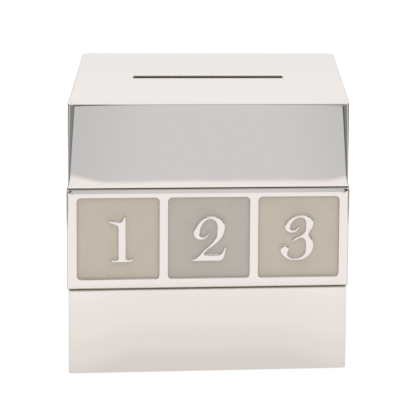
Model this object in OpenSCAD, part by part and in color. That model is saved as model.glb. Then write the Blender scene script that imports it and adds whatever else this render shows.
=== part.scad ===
// Cube money box in three tiers: a pressed upper shell with a coin slot, a band of four
// cushioned number plates with enamel windows, and a lower shell over a felted base with a stopper.
// Millimetres. The origin is the centre of the base on the table, +Z is up, the front faces -Y.

/* [Tiers] */
// Outside width of the cube over its flat walls
cube_w = 80; // [76:0.5:90]
// Height of the upper tier, from its seam to the top face
upper_h = 25; // [20:0.5:32]
// Height of the number band, from seam to seam
band_h = 29.6; // [28.5:0.1:34]
// Height of the lower tier, from the table to its seam
lower_h = 25.4; // [18:0.1:32]
// Open groove between two tiers
seam_gap = 0.3; // [0.1:0.05:0.6]

/* [Shell metal] */
// Wall of the shells
wall_t = 1.2; // [0.9:0.1:1.6]
// Thickness of the top face
top_t = 1.4; // [1:0.1:2.5]
// Radius of the upright corners
corner_r = 1.5; // [0.5:0.1:2.5]
// Radius of the soft edge round the top face
top_edge_r = 0.9; // [0.3:0.1:1.8]
// Radius of the tiers' edges at the seams and at the foot
rim_r = 0.5; // [0.2:0.1:0.8]

/* [Coin slot] */
// Length of the slot, side to side
slot_l = 45.4; // [30:0.2:55]
// Width of the slot, front to back
slot_w = 4.6; // [4.2:0.1:6]

/* [Liner] */
// Wall of the inner tube
liner_t = 0.8; // [0.5:0.1:1.2]
// Clearance between the inner tube and what goes round it
liner_fit = 0.05; // [0.03:0.01:0.15]

/* [Number plates] */
// How far the face of a plate stands out past the flat walls
plate_proud = 0.4; // [0.3:0.05:1.2]
// Radius of the four corners of a plate's outline
plate_corner_r = 1.4; // [0.6:0.1:2]
// Width of the soft roll round a plate's face
plate_roll_w = 1.5; // [1:0.1:2]
// How far the face has rolled back at the plate's edges
plate_roll_drop = 0.3; // [0.1:0.05:0.4]
// Gap at the mitre between two plates
mitre_gap = 0.1; // [0.04:0.02:0.3]
// Metal left under a window
window_floor_t = 0.75; // [0.5:0.05:0.9]

/* [Windows] */
// Metal between the outer windows and the flat walls' corners
window_side = 2.5; // [1.8:0.1:3.5]
// Metal above the windows
window_above = 2.5; // [1.5:0.1:4]
// Metal below the windows
window_below = 2.9; // [1.5:0.1:4]
// Bar of metal between two windows
window_gap = 2.4; // [1.5:0.1:3]
// Radius of a window's corners
window_r = 1.2; // [0.5:0.1:2.5]

/* [Enamel] */
// How far the enamel lies under the face of the plate
enamel_drop = 0.5; // [0.2:0.05:0.6]
// Clearance round each enamel fill
enamel_fit = 0.02; // [0.01:0.01:0.05]

/* [Digits] */
// Scale of the digits against their drawn height of 13.5
digit_scale = 1; // [0.8:0.05:1.2]
// Height of the digits' foot line above the lower edge of a window
digit_foot = 4.9; // [3:0.1:6]
// How far the digits' flat tops lie under the face of the plate
digit_drop = 0.05; // [0.02:0.01:0.15]
// Points drawn along each stretch of a digit's outline
digit_steps = 3; // [2:1:6]

/* [Base] */
// Thickness of the base plate
base_t = 1; // [0.8:0.1:1.6]
// Height of the base plate's upturned rim
base_rim_h = 4; // [2:0.5:6]
// Thickness of the felt pad
felt_t = 1.6; // [1.2:0.1:2.5]
// How far the felt stands below the lower shell
felt_reveal = 0.3; // [0.1:0.05:0.6]

/* [Stopper] */
// Radius of the hole in the base plate
hole_r = 16; // [14:0.5:20]
// Radial clearance of the stopper's bead in the hole
bead_fit = 0.05; // [0.03:0.01:0.1]
// Radial clearance of the stopper's neck in the hole
neck_fit = 0.4; // [0.3:0.05:0.8]
// Height of the bead
bead_h = 1.4; // [0.8:0.1:2]
// Height of the neck above the flange
neck_h = 6; // [5:0.5:8]
// Wall and crown of the neck
neck_t = 1.3; // [1:0.1:2]
// How far the flange reaches past the hole
flange_reach = 2.4; // [1.5:0.1:4]
// Clearance between the flange and the felt round it
flange_fit = 0.6; // [0.3:0.1:1.5]
// Height of the flange above the table
flange_lift = 0.3; // [0.3:0.05:0.5]
// Width of the grip bar across the recess
grip_w = 2.6; // [2:0.1:4]
// How far the grip bar lies inside the recess
grip_drop = 0.6; // [0.2:0.1:1.5]

/* [Hidden] */
SIDES = ["front", "right", "back", "left"];
$fn = 64;

silver = [0.86, 0.85, 0.83];
taupe = [0.75, 0.71, 0.65];
felt_black = [0.10, 0.10, 0.11];
stopper_grey = [0.55, 0.55, 0.56];

half_w = cube_w / 2;
lower_seam_z = lower_h;
upper_seam_z = lower_h + band_h;
cube_h = lower_h + band_h + upper_h;
inner_half = half_w - wall_t;
liner_half = inner_half - liner_fit;
liner_inner_half = liner_half - liner_t;
base_z = felt_t;
liner_z = base_z + base_t;
under_top_z = cube_h - top_t;

// The plates stand on the liner.
plate_back = liner_half + liner_fit;
plate_face = half_w + plate_proud;
plate_mid_z = lower_h + band_h / 2;
plate_half_h = (band_h - seam_gap) / 2;
plate_roll_r = (pow(plate_roll_w, 2) + pow(plate_roll_drop, 2)) / (2 * plate_roll_drop);
window_w = (cube_w - 2 * window_side - 2 * window_gap) / 3;
window_h = 2 * plate_half_h - window_above - window_below;
window_z = plate_mid_z + (window_below - window_above) / 2;
window_floor = plate_back + window_floor_t;
window_pitch = window_w + window_gap;
digit_top = plate_face - digit_drop;
digit_foot_z = window_z - window_h / 2 + digit_foot;

neck_r = hole_r - neck_fit;
bead_r = hole_r - bead_fit;
flange_r = hole_r + flange_reach;
felt_hole_r = flange_r + flange_fit;
neck_top_z = base_z + neck_h;
// Cuts run this far past the faces that they open.
past = 1;

// Digit outlines: each is a ring of stretches from one corner to the next, and a stretch of
// more than two points is a smooth curve through them. X is from the window's centre line and
// Y from the digits' foot line.
ONE = [
    [[-2.75, 12.25], [-1.6, 11.95], [-0.3, 12.05], [0.6, 12.6], [1.2, 13.5]],
    [[1.2, 13.5], [2.05, 13.6]],
    [[2.05, 13.6], [2.1, 1.8]],
    [[2.1, 1.8], [2.4, 1.0], [3.1, 0.7], [3.9, 1.15]],
    [[3.9, 1.15], [4.15, 0.7], [3.7, 0.2], [2.8, 0.05]],
    [[2.8, 0.05], [-0.9, 0.05]],
    [[-0.9, 0.05], [-1.6, 0.1], [-1.9, 0.5], [-1.7, 0.9]],
    [[-1.7, 0.9], [-1.1, 0.6], [-0.3, 0.85], [0.05, 1.8]],
    [[0.05, 1.8], [0.05, 9.9]],
    [[0.05, 9.9], [-0.2, 10.7], [-1.1, 11.15], [-2.75, 11.95]],
    [[-2.75, 11.95], [-2.75, 12.25]]
];
TWO = [
    [[0.15, 8.35], [-0.5, 7.3], [-1.4, 6.6], [-2.6, 6.4], [-3.8, 6.85], [-4.4, 8.1], [-4.1, 9.8],
     [-3.1, 11.5], [-1.6, 12.8], [0.4, 13.4], [2.5, 13.15], [4.0, 12.1], [4.5, 10.3], [4.2, 8.3],
     [3.2, 6.4], [1.4, 4.7], [-0.3, 3.5], [-1.35, 2.4]],
    [[-1.35, 2.4], [-0.8, 1.8], [0.8, 1.65], [2.4, 1.75], [3.4, 2.15]],
    [[3.4, 2.15], [4.0, 3.0], [4.6, 4.15]],
    [[4.6, 4.15], [4.9, 4.05]],
    [[4.9, 4.05], [4.6, 2.4], [4.2, 1.0], [3.7, 0.3], [3.0, 0.05]],
    [[3.0, 0.05], [-4.6, 0.05]],
    [[-4.6, 0.05], [-4.75, 0.55]],
    [[-4.75, 0.55], [-3.9, 0.85], [-2.7, 1.95], [-1.3, 3.45], [0.4, 5.0], [1.7, 6.8], [2.4, 9.2],
     [2.1, 11.4], [0.8, 12.5], [-0.9, 12.1], [-2.1, 10.7], [-2.65, 8.9], [-2.4, 7.5], [-1.4, 7.15],
     [-0.5, 7.8], [-0.15, 8.5]],
    [[-0.15, 8.5], [0.15, 8.35]]
];
THREE = [
    [[0.3, 10.0], [-0.4, 8.95], [-1.3, 8.3], [-2.6, 8.25], [-3.7, 8.95], [-4.0, 10.2], [-3.3, 11.75],
     [-1.7, 12.9], [0.6, 13.45], [2.7, 13.2], [4.0, 12.1], [4.15, 10.5], [3.4, 9.1], [2.95, 8.1],
     [3.4, 7.0], [4.15, 5.6], [4.25, 3.8], [3.5, 1.9], [1.8, 0.5], [-0.5, 0.0], [-2.9, 0.3],
     [-4.6, 1.5], [-5.25, 3.0], [-4.6, 4.25], [-3.4, 4.35], [-2.75, 3.4], [-3.2, 2.3], [-2.8, 1.15],
     [-1.4, 0.5], [0.5, 0.85], [1.8, 2.3], [2.15, 4.4], [1.75, 6.1], [0.6, 6.7], [-0.6, 6.15],
     [-1.5, 5.55]],
    [[-1.5, 5.55], [-1.75, 5.85]],
    [[-1.75, 5.85], [-0.7, 6.8], [0.8, 7.6], [1.8, 9.0], [2.1, 11.0], [1.5, 12.4], [0.2, 12.7],
     [-1.4, 11.95], [-2.35, 10.6], [-2.3, 9.4], [-1.4, 8.95], [-0.5, 9.5], [0.05, 10.2]],
    [[0.05, 10.2], [0.3, 10.0]]
];
DIGITS = [ONE, TWO, THREE];

// A point between b and c on the smooth curve through a, b, c and d.
function curve_point(a, b, c, d, t) = 0.5 * (2 * b + (c - a) * t
    + (2 * a - 5 * b + 4 * c - d) * pow(t, 2) + (3 * b - a - 3 * c + d) * pow(t, 3));

// One stretch without its last point, which the next stretch starts with.
function stretch_points(p, steps) = len(p) == 2 ? [p[0]] : [
    for (i = [0:len(p) - 2]) for (k = [0:steps - 1]) curve_point(
        i > 0 ? p[i - 1] : 2 * p[0] - p[1],
        p[i],
        p[i + 1],
        i < len(p) - 2 ? p[i + 2] : 2 * p[i + 1] - p[i],
        k / steps
    )
];

function ring_points(ring, steps) = [for (stretch = ring) each stretch_points(stretch, steps)];

// Square with round corners, centred on the origin.
module round_square(w, h, r) {
    square([w - 2 * r, h], center = true);
    square([w, h - 2 * r], center = true);
    for (sx = [-1, 1])
        for (sy = [-1, 1])
            translate([sx * (w / 2 - r), sy * (h / 2 - r)]) circle(r);
}

// Stands a profile drawn in X and Z up, as a bar centred on the origin along Y.
module bar_along_y(length) {
    translate([0, length / 2, 0]) rotate([90, 0, 0]) linear_extrude(length) children();
}

// A block that has its first child's profile from the front and from the side,
// and round upright corners.
module turned_block(z0, z1) {
    intersection() {
        translate([0, 0, z0 - past]) linear_extrude(z1 - z0 + 2 * past)
            round_square(cube_w, cube_w, corner_r);
        bar_along_y(cube_w + 2 * past) children();
        rotate([0, 0, 90]) bar_along_y(cube_w + 2 * past) children();
    }
}

module square_tube(half_out, half_in, z0, z1) {
    translate([0, 0, z0]) linear_extrude(z1 - z0) difference() {
        square(2 * half_out, center = true);
        square(2 * half_in, center = true);
    }
}

// A tier's outline, with round edges above and below.
module tier_profile(z0, z1, upper_r, lower_r) {
    translate([-half_w, z0 + lower_r]) square([cube_w, z1 - z0 - lower_r - upper_r]);
    translate([lower_r - half_w, z0]) square([cube_w - 2 * lower_r, z1 - z0 - upper_r]);
    translate([upper_r - half_w, z0 + lower_r]) square([cube_w - 2 * upper_r, z1 - z0 - lower_r]);
    for (s = [-1, 1]) {
        translate([s * (half_w - lower_r), z0 + lower_r]) circle(lower_r);
        translate([s * (half_w - upper_r), z1 - upper_r]) circle(upper_r);
    }
}

// Pressed cap: top face, coin slot and the four upper walls.
module upper_shell() {
    z0 = upper_seam_z + seam_gap / 2;
    color(silver) difference() {
        turned_block(z0, cube_h) tier_profile(z0, cube_h, top_edge_r, rim_r);
        translate([0, 0, z0 - past]) linear_extrude(under_top_z - z0 + past)
            square(2 * inner_half, center = true);
        translate([0, 0, under_top_z - past]) linear_extrude(top_t + 2 * past)
            square([slot_l, slot_w], center = true);
    }
}

// Square sleeve under the band.
module lower_shell() {
    z1 = lower_seam_z - seam_gap / 2;
    color(silver) difference() {
        turned_block(felt_reveal, z1) tier_profile(felt_reveal, z1, rim_r, rim_r);
        linear_extrude(lower_seam_z) square(2 * inner_half, center = true);
    }
}

// Thin square tube from the base plate to the top, which joins the tiers.
module core_liner() {
    color(silver) square_tube(liner_half, liner_inner_half, liner_z, under_top_z);
}

// A plate in section, with its face rolled back at both ends: X runs along the face from its
// middle, and Y away from the middle of the box.
module rolled_section(half_length) {
    reach = half_length - plate_roll_w;
    translate([-reach, 0]) square([2 * reach, plate_face]);
    for (s = [-1, 1])
        translate([s * reach, plate_face - plate_roll_r]) circle(plate_roll_r);
}

// A plate's plan between its two mitres.
module mitred_plan() {
    far = plate_face + past;
    intersection() {
        polygon([
            [-plate_back + mitre_gap, plate_back],
            [plate_back - mitre_gap, plate_back],
            [far - mitre_gap, far],
            [-far + mitre_gap, far]
        ]);
        rolled_section(plate_face - plate_roll_drop);
    }
}

// Stands a flat drawing of the front face up, from one depth out to another.
module on_front(depth0, depth1) {
    translate([0, -depth0, 0]) rotate([90, 0, 0]) linear_extrude(depth1 - depth0) children();
}

module window_outline(digit, inset) {
    translate([(digit - 2) * window_pitch, window_z])
        round_square(window_w - 2 * inset, window_h - 2 * inset, window_r - inset);
}

module digit_outline(digit) {
    translate([(digit - 2) * window_pitch, digit_foot_z]) scale(digit_scale)
        polygon(ring_points(DIGITS[digit - 1], digit_steps));
}

// Front number plate: mitred at both ends, with three windows round raised digits.
module number_plate() {
    outer = plate_face + past;
    color(silver) {
        difference() {
            intersection() {
                translate([0, 0, plate_mid_z - band_h / 2]) linear_extrude(band_h)
                    mirror([0, 1]) mitred_plan();
                translate([-outer, 0, plate_mid_z]) rotate([0, 90, 0]) linear_extrude(2 * outer)
                    mirror([0, 1]) rolled_section(plate_half_h);
                on_front(plate_back - past, outer) translate([0, plate_mid_z])
                    round_square(2 * plate_face, 2 * plate_half_h, plate_corner_r);
            }
            for (digit = [1:3]) on_front(window_floor, outer) window_outline(digit, 0);
        }
        for (digit = [1:3]) on_front(window_floor, digit_top) digit_outline(digit);
    }
}

// Enamel of one front window, poured round its digit.
module enamel(digit) {
    enamel_face = plate_face - enamel_drop;
    color(taupe) difference() {
        on_front(window_floor, enamel_face) window_outline(digit, enamel_fit);
        on_front(window_floor - past, plate_face) offset(delta = enamel_fit) digit_outline(digit);
    }
}

// Shallow tray: its upturned rim stands inside the liner, round the coin hole.
module base_plate() {
    rim_half = liner_inner_half - liner_fit;
    color(silver) {
        translate([0, 0, base_z]) linear_extrude(base_t) difference() {
            square(2 * liner_half, center = true);
            circle(hole_r);
        }
        square_tube(rim_half, rim_half - base_t, liner_z, liner_z + base_rim_h);
    }
}

// Soft pad that the box stands on.
module base_felt() {
    color(felt_black) linear_extrude(felt_t) difference() {
        round_square(2 * liner_half, 2 * liner_half, corner_r);
        circle(felt_hole_r);
    }
}

// Moulded bung, open below, with a bar across the recess to pull it by.
module stopper() {
    flange_t = base_z - flange_lift;
    bead_z = liner_z + bead_h / 2 + bead_fit;
    color(stopper_grey) {
        difference() {
            union() {
                translate([0, 0, flange_lift]) cylinder(h = flange_t, r = flange_r);
                translate([0, 0, base_z]) cylinder(h = neck_h, r = neck_r);
                rotate_extrude() polygon([
                    [neck_r - neck_t / 2, bead_z - bead_h / 2],
                    [neck_r, bead_z - bead_h / 2],
                    [bead_r, bead_z],
                    [neck_r, bead_z + bead_h / 2],
                    [neck_r - neck_t / 2, bead_z + bead_h / 2]
                ]);
            }
            cylinder(h = neck_top_z - neck_t, r = neck_r - neck_t);
        }
        intersection() {
            translate([0, 0, flange_lift + grip_drop + (neck_top_z - flange_lift) / 2])
                cube([2 * neck_r, grip_w, neck_top_z - flange_lift], center = true);
            cylinder(h = neck_top_z - neck_t / 2, r = neck_r - neck_t / 2);
        }
    }
}

// Turns a piece of the front face to one of the four sides.
module to_side(side) {
    rotate([0, 0, 90 * side]) children();
}

upper_shell();
lower_shell();
core_liner();
base_plate();
base_felt();
stopper();
for (side = [0:3]) {
    to_side(side) number_plate();
    for (digit = [1:3])
        to_side(side) enamel(digit);
}
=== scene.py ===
# %% [markdown]
# # A cube money box in polished metal
# The box is an 80 mm cube in three tiers. A pressed cap with a coin slot sits on a raised band
# of number plates, and a plain sleeve under the band stands on a felted base. Everything is
# bright plated metal, apart from the taupe enamel round the digits and the parts underneath.
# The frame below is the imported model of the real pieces, and each piece of this scene goes
# exactly where the frame says.

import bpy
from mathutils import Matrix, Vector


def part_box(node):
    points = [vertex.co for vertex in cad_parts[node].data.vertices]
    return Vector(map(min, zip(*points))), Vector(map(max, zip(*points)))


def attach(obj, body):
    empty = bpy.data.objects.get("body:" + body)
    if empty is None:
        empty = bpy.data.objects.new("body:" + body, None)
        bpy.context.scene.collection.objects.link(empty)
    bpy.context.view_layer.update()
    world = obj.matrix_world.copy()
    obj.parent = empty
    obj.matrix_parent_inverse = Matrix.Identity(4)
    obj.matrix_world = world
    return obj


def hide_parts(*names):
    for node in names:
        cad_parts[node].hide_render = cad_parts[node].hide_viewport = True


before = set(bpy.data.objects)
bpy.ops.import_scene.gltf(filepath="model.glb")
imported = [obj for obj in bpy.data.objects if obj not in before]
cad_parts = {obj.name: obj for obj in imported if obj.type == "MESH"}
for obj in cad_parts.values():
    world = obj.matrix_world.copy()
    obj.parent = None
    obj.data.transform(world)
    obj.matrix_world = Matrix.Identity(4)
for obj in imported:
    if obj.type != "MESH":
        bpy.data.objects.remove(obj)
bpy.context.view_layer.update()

import math

import bmesh
import bpy
from mathutils import Matrix, Vector

MM = 0.001


def node_span(node):
    """The lowest and highest corners of a node, in millimetres."""
    return [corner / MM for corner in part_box(node)]


# %% [markdown]
# ## Camera
# A product photographer stands back and uses a long lens, so that the cube's edges stay nearly
# parallel. The camera comes first, because it settles which reflections the metal shows.
# The picture is cut from the side of a wider frame, so its middle isn't on the lens's axis. That
# shows in the edges: the box narrows downwards less than it should, and its right side is a
# little shorter than its left. So the frame that carries the camera is skewed by as much as
# the middle of the picture is off the axis.

# %% Place the camera
CAMERA_PLACE = Vector((-0.0028, -0.6404, 0.2038))
CAMERA_TURNS = [math.radians(angle) for angle in (8.63, 8.49, 1.60)]
FOCAL_PIXELS = 2115.5
PICTURE_PIXELS = 416
OFF_AXIS_RIGHT = 310.1
OFF_AXIS_UP = -217.9
SENSOR_WIDTH = 36


def put_in_scene(name, data=None):
    """A new object of the scene, which carries some data or is empty."""
    item = bpy.data.objects.new(name, data)
    bpy.context.scene.collection.objects.link(item)
    return item


def camera_axes(yaw, pitch, roll):
    """The lens's own directions in the room: right, up and forwards."""
    level = math.cos(pitch)
    forwards = Vector((math.sin(yaw) * level, math.cos(yaw) * level, -math.sin(pitch)))
    level_right = Vector((math.cos(yaw), -math.sin(yaw), 0))
    level_up = level_right.cross(forwards)
    right = math.cos(roll) * level_right + math.sin(roll) * level_up
    up = math.cos(roll) * level_up - math.sin(roll) * level_right
    return right, up, forwards


right, up, forwards = camera_axes(*CAMERA_TURNS)
aim = forwards * FOCAL_PIXELS - right * OFF_AXIS_RIGHT + up * OFF_AXIS_UP
aim.normalize()
columns = (right, up, -aim, CAMERA_PLACE)
camera_data = bpy.data.cameras.new("product_camera")
camera_data.sensor_width = SENSOR_WIDTH
camera_data.lens = SENSOR_WIDTH * FOCAL_PIXELS / PICTURE_PIXELS / aim.dot(forwards)
camera_data.clip_start = 0.01
camera_data.clip_end = 20
camera = put_in_scene("product_camera", camera_data)
camera.parent = put_in_scene("tripod")
camera.matrix_parent_inverse = Matrix([list(row) for row in zip(*columns)] + [[0, 0, 0, 1]])
bpy.context.scene.camera = camera
bpy.context.scene.view_settings.view_transform = "Standard"
print("lens, mm:", round(camera_data.lens, 1), "camera at", [round(value, 4) for value in CAMERA_PLACE])

# %% [markdown]
# ## Small node helpers
# Materials are graphs of nodes, which could be drawn by hand in the shader editor. Written down
# with these helpers, which add a node, feed its sockets and return it, each material reads as a
# short list of steps.

# %% Helpers for node trees


def feed(tree, value, socket):
    """Links a socket, or a node's first output, to a socket, or sets a plain value."""
    if isinstance(value, bpy.types.Node):
        value = value.outputs[0]
    if isinstance(value, bpy.types.NodeSocket):
        tree.links.new(value, socket)
    else:
        socket.default_value = value


def set_node(tree, node, **settings):
    """Sets a node's properties, which start small, and feeds its sockets, which start large."""
    for name, value in settings.items():
        if name[0].islower():
            setattr(node, name, value)
        else:
            feed(tree, value, node.inputs[name.replace("_", " ")])
    return node


def add_node(tree, kind, *values, **settings):
    """A new node with its settings, whose first sockets take the values in turn."""
    node = set_node(tree, tree.nodes.new(kind), **settings)
    for socket, value in zip(node.inputs, values):
        feed(tree, value, socket)
    return node


def math_node(tree, operation, *values):
    """A Math node whose inputs are numbers, nodes or sockets."""
    return add_node(tree, "ShaderNodeMath", *values, operation=operation)


def vector_node(tree, operation, *values, **settings):
    """A Vector Math node whose inputs are vectors, nodes or sockets."""
    return add_node(tree, "ShaderNodeVectorMath", *values, operation=operation, **settings)


def largest(tree, first, *others):
    """The largest of several numbers."""
    for other in others:
        first = math_node(tree, "MAXIMUM", first, other)
    return first


def ramp_between(tree, value, start, end, low=0.0, high=1.0):
    """Runs smoothly from low to high while value goes from start to end."""
    steps = (value, start, end, low, high)
    return add_node(tree, "ShaderNodeMapRange", *steps, interpolation_type="SMOOTHSTEP")


def mix(tree, factor, first, second, kind="RGBA"):
    """Mixes two colours, or two numbers where the kind is FLOAT."""
    node = add_node(tree, "ShaderNodeMix", data_type=kind, Factor=factor, A=first, B=second)
    return node.outputs["Result"]


print("node helpers ready")

# %% [markdown]
# ## What the mirror shows
# Polished metal has hardly any colour of its own: it shows what stands round it. Real boards and
# softboxes could be built and moved about until their reflections fit. Here the surroundings
# that only reflections see are painted instead, because each of their colours can then be given
# as the level that the metal should show in the picture. The metal's own tint is divided out.

# %% Helpers for mirrored surroundings
METAL = (0.95, 0.91, 0.875)
FRONT_TURN = (-0.9, -0.2)


def linear(level):
    """The light that a picture's level from 0 to 255 stands for."""
    share = level / 255
    return share / 12.92 if share <= 0.04045 else ((share + 0.055) / 1.055) ** 2.4


def shown_by_metal(levels):
    """The colour that the surroundings need, so that the metal shows the given picture levels."""
    return tuple(linear(level) / tint for level, tint in zip(levels, METAL)) + (1,)


def mix_shown(tree, factor, first, second):
    """Mixes two colours of the surroundings, each a socket or the levels that the metal shows."""
    pair = [shown_by_metal(side) if isinstance(side, tuple) else side for side in (first, second)]
    return mix(tree, factor, *pair)


def sides_of(tree, vector):
    """A vector's longer and shorter length sideways, the ratio of the two, its height, and how
    far it points to the front and to the right."""
    x, y, height = add_node(tree, "ShaderNodeSeparateXYZ", vector).outputs
    sizes = [math_node(tree, "ABSOLUTE", size) for size in (x, y)]
    longer = math_node(tree, "MAXIMUM", *sizes)
    shorter = math_node(tree, "MINIMUM", *sizes)
    turned = math_node(tree, "DIVIDE", shorter, longer)
    front = ramp_between(tree, math_node(tree, "DIVIDE", y, longer), *FRONT_TURN, 1.0, 0.0)
    return longer, shorter, turned, height, front, math_node(tree, "DIVIDE", x, longer)


print("a mirrored white needs the colour", [round(value, 3) for value in shown_by_metal((255,) * 3)])

# %% [markdown]
# ## The table and its white sheet
# The box stands on a white sheet, with the box's soft shadow painted on it beside the box. Past
# the sheet's rippled edge the mirror faces see a grey table. The same lies on all four sides, but
# only towards the front, where the photographer stands, is the studio dark on both sides of the
# table. Sheet and table reach a little further on the right of the box than on its left.

# %% Colour the floor that the metal shows
BOX_HALF = 0.040
SHEET_HALF = 0.2738
SHEET_FLARE = 0.015
SHEET_ROUND = 0.075
RIGHT_SHIFT = 0.008
AISLE_HALF = 0.067
EDGE_BLUR = 0.0012
RIPPLE_SCALE = 45.0
RIPPLE_DEPTH = 0.004
SHADOW_SIDES = (0.020, 0.042)
SHADOW_LENGTH = 0.016
RIGHT_TURN = (-0.05, 0.05)
FLARE_SIDES = (0.038, 0.058)
TABLE_SIDES = (0.018, 0.060)
RIM_REACH = (-0.006, -0.001)
FAR_REACH = (0.42, 0.60)
CORNER_TURN = (0.25, 0.85)
# The sheet's colours by distance from the box, with the box's soft shadow painted in near it.
SHEET_PAINTED_SHADOW = (
    (0.009, (214, 207, 201)),
    (0.031, (225, 218, 212)),
    (0.058, (232, 225, 219)),
    (0.082, (234, 227, 222)),
    (0.100, (239, 231, 228)),
    (0.200, (239, 231, 228)),
    (0.240, (237, 230, 226)),
)
SHEET_RIM = (222, 213, 206)
TABLE_MIDDLE = (205, 201, 200)
TABLE_SIDE = (194, 192, 190)
STUDIO_LEFT = (118, 116, 114)
STUDIO_RIGHT = (82, 80, 78)
STUDIO_CORNER = (130, 127, 125)
STUDIO_LIGHT = (140, 137, 134)
STUDIO_FAR_RIGHT = (172, 169, 167)


def sheet_with_painted_shadow(tree, distance):
    """The sheet's colour at a distance from the box, with the box's shadow painted in near it."""
    reach = SHEET_PAINTED_SHADOW[-1][0]
    node = add_node(tree, "ShaderNodeValToRGB", math_node(tree, "DIVIDE", distance, reach))
    node.color_ramp.interpolation = "EASE"
    elements = node.color_ramp.elements
    while len(elements) < len(SHEET_PAINTED_SHADOW):
        elements.new(0.5)
    for element, (place, levels) in zip(elements, SHEET_PAINTED_SHADOW):
        element.position = place / reach
        element.color = shown_by_metal(levels)
    return node


def mirrored_floor(tree, place):
    """The floor as the metal shows it."""
    farther, nearer, turned, _, front, rightwards = sides_of(tree, place)
    past_box = math_node(tree, "SUBTRACT", farther, BOX_HALF)
    # Painted shadow: the sheet darkens towards the box, and less so past the box's corners.
    past_shadow = ramp_between(tree, nearer, *SHADOW_SIDES, 0.0, SHADOW_LENGTH)
    sheet = sheet_with_painted_shadow(tree, math_node(tree, "ADD", past_box, past_shadow))
    on_right = ramp_between(tree, rightwards, *RIGHT_TURN)
    off_centre = math_node(tree, "MULTIPLY_ADD", on_right, -RIGHT_SHIFT, nearer)
    edge = ramp_between(tree, off_centre, *FLARE_SIDES, SHEET_HALF, SHEET_HALF + SHEET_FLARE)
    ripple = add_node(tree, "ShaderNodeTexNoise", Vector=place, Scale=RIPPLE_SCALE, Detail=1.0)
    edge = math_node(tree, "ADD", edge, math_node(tree, "MULTIPLY", ripple, RIPPLE_DEPTH))
    rounding = math_node(tree, "MULTIPLY", turned, turned)
    edge = math_node(tree, "MULTIPLY_ADD", rounding, -SHEET_ROUND, edge)
    past_edge = math_node(tree, "SUBTRACT", farther, edge)
    sheet = mix_shown(tree, ramp_between(tree, past_edge, *RIM_REACH), sheet, SHEET_RIM)
    table = mix_shown(tree, ramp_between(tree, off_centre, *TABLE_SIDES), TABLE_MIDDLE, TABLE_SIDE)
    studio = mix_shown(tree, on_right, STUDIO_LEFT, STUDIO_RIGHT)
    far_right = math_node(tree, "MULTIPLY", on_right, ramp_between(tree, farther, *FAR_REACH))
    studio = mix_shown(tree, far_right, studio, STUDIO_FAR_RIGHT)
    studio = mix_shown(tree, ramp_between(tree, turned, *CORNER_TURN), studio, STUDIO_CORNER)
    studio = mix_shown(tree, front, STUDIO_LIGHT, studio)
    past_aisle = ramp_between(tree, nearer, AISLE_HALF - EDGE_BLUR, AISLE_HALF + EDGE_BLUR)
    table = mix_shown(tree, past_aisle, table, studio)
    return mix_shown(tree, ramp_between(tree, past_edge, -EDGE_BLUR, EDGE_BLUR), sheet, table)


print("shades along the sheet:", len(SHEET_PAINTED_SHADOW))

# %% [markdown]
# ## The floor
# One large square is sheet, table and studio floor at once. The camera itself sees only white
# with the box's soft shadow, so most of that white glows and a small share of it is lit by the
# lamps. From below, the floor lets the eye through, so that the underside can be looked at.

# %% Build the floor
FLOOR_HALF = 1.8
FLOOR_DROP = 0.0002
SHADED_SHARE = 0.14
WHOLE_GLOW = 1.06
WHITE = (1, 1, 1, 1)
PAPER = (0.8, 0.79, 0.78, 1)


def looked_at(tree, path):
    """1 for a ray from the camera, straight or through something clear."""
    return math_node(tree, "MAXIMUM", path["Is Camera Ray"], path["Is Transmission Ray"])


def put_layers(tree, output_kind, surface, *layers):
    """Lays surfaces over each other, each where its share is 1, and feeds the tree's output."""
    for share, layer in layers:
        surface = add_node(tree, "ShaderNodeMixShader", share, surface, layer)
    add_node(tree, output_kind, Surface=surface)


def make_floor_material():
    material = bpy.data.materials.new("white_sheet")
    material.use_nodes = True
    tree = material.node_tree
    tree.nodes.clear()
    point = add_node(tree, "ShaderNodeNewGeometry").outputs
    path = add_node(tree, "ShaderNodeLightPath").outputs
    mirrored = add_node(tree, "ShaderNodeEmission", mirrored_floor(tree, point["Position"]), 1.0)
    glow = add_node(tree, "ShaderNodeEmission", WHITE, WHOLE_GLOW - SHADED_SHARE)
    shaded = add_node(tree, "ShaderNodeBsdfDiffuse", (SHADED_SHARE,) * 3 + (1,))
    clear = add_node(tree, "ShaderNodeBsdfTransparent")
    put_layers(
        tree,
        "ShaderNodeOutputMaterial",
        add_node(tree, "ShaderNodeBsdfDiffuse", PAPER),
        (looked_at(tree, path), add_node(tree, "ShaderNodeAddShader", glow, shaded)),
        (path["Is Glossy Ray"], mirrored),
        (math_node(tree, "MAXIMUM", point["Backfacing"], path["Is Shadow Ray"]), clear),
    )
    return material


floor_mesh = bpy.data.meshes.new("floor")
corners = [(x * FLOOR_HALF, y * FLOOR_HALF) for x, y in ((-1, -1), (1, -1), (1, 1), (-1, 1))]
floor_mesh.from_pydata([(x, y, -FLOOR_DROP) for x, y in corners], [], [(0, 1, 2, 3)])
floor_mesh.materials.append(make_floor_material())
floor = put_in_scene("floor", floor_mesh)
print("floor half width, m:", FLOOR_HALF)

# %% [markdown]
# ## The room and its lamps
# The room is white to the camera. To the metal it is bright overhead, and in front it darkens
# towards the horizon, where the studio's wall stands unlit. That dark belt draws the fine dark
# line under the cap's top edge, and the bright wall above draws the light line over it. The
# ceiling is greyer between that wall and the softbox overhead. Three soft lamps give the light
# and the shadow. They stay out of reflections, which the painted room already fills.

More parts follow.
